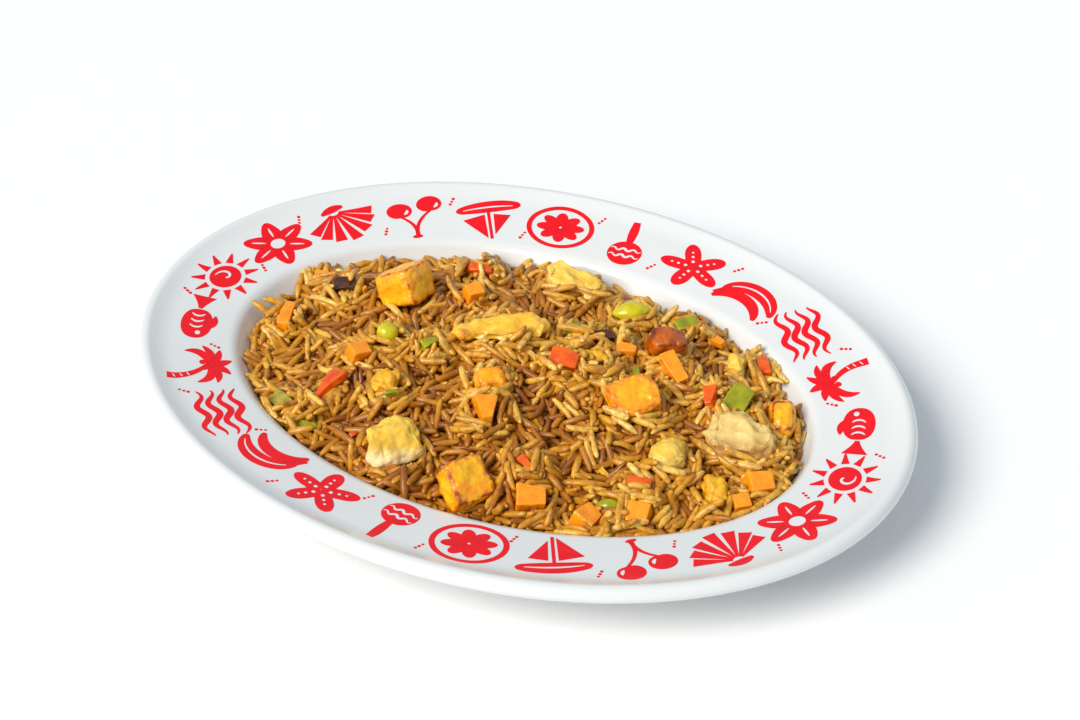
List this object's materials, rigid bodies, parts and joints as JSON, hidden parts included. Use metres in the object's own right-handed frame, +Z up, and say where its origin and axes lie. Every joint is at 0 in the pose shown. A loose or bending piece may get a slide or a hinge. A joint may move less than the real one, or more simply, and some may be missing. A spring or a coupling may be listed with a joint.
{
  "type": "plate of caribbean rice",
  "caption": "Oval rimmed plate heaped with brown fried rice, plantain, chicken pieces and diced vegetables, served as one dish.",
  "frame": {"origin": "centre of the plate's foot, on the surface it stands on", "axes": "+X along the plate's length, +Y along its width, +Z up"},
  "size_m": [0.306, 0.233, 0.0418],
  "materials": {
    "plate": "glazed white ware, glossy, with a red hand-printed border on the rim",
    "rice": "moist brown fried rice, long grain, lightly glossy",
    "plantain": "fried ripe plantain, golden with browned edges, oily sheen",
    "plantain_dark": "fried plantain, caramelised red-brown",
    "egg": "soft fried egg, yellow with brown flecks",
    "chicken": "cooked chicken, pale cream with yellow sauce, fibrous",
    "carrot": "cooked carrot dice, moist orange",
    "red_pepper": "cooked red pepper with shiny skin",
    "green_pepper": "cooked green pepper with shiny skin",
    "pea": "cooked pea and beans, yellow-green, shiny",
    "onion": "fried onion, dark brown, shiny"
  },
  "bodies": {
    "root": {"plate": "plate", "rice": "rice", "plantain_back": "plantain", "plantain_front": "plantain", "plantain_middle": "plantain", "plantain_right": "plantain", "plantain_charred": "plantain_dark", "plantain_left_bit": "egg", "plantain_centre_bit": "plantain", "egg_front_right": "egg", "chicken_front_left": "chicken", "chicken_right": "chicken", "chicken_front_right": "chicken", "chicken_strip_middle": "chicken", "chicken_strip_back": "chicken", "chicken_far_right": "chicken", "carrot_left": "carrot", "carrot_centre": "carrot", "carrot_front_left": "carrot", "carrot_front": "carrot", "carrot_front_mid": "carrot", "carrot_front_right": "carrot", "carrot_corner": "carrot", "carrot_wedge": "carrot", "carrot_sliver": "carrot", "carrot_left_edge": "carrot", "carrot_back": "carrot", "red_left": "red_pepper", "red_middle": "red_pepper", "red_front": "red_pepper", "red_right": "red_pepper", "red_back": "red_pepper", "pea": "pea", "bean_back": "pea", "bean_front": "pea", "pepper_back_right": "green_pepper", "pepper_right": "green_pepper", "pepper_left": "green_pepper", "pepper_left_low": "green_pepper", "onion_green": "green_pepper", "onion_brown": "onion", "egg_curl": "egg", "onion_dark": "onion", "pepper_middle": "green_pepper", "red_small": "red_pepper", "carrot_back_left": "carrot"}
  },
  "joints": []
}
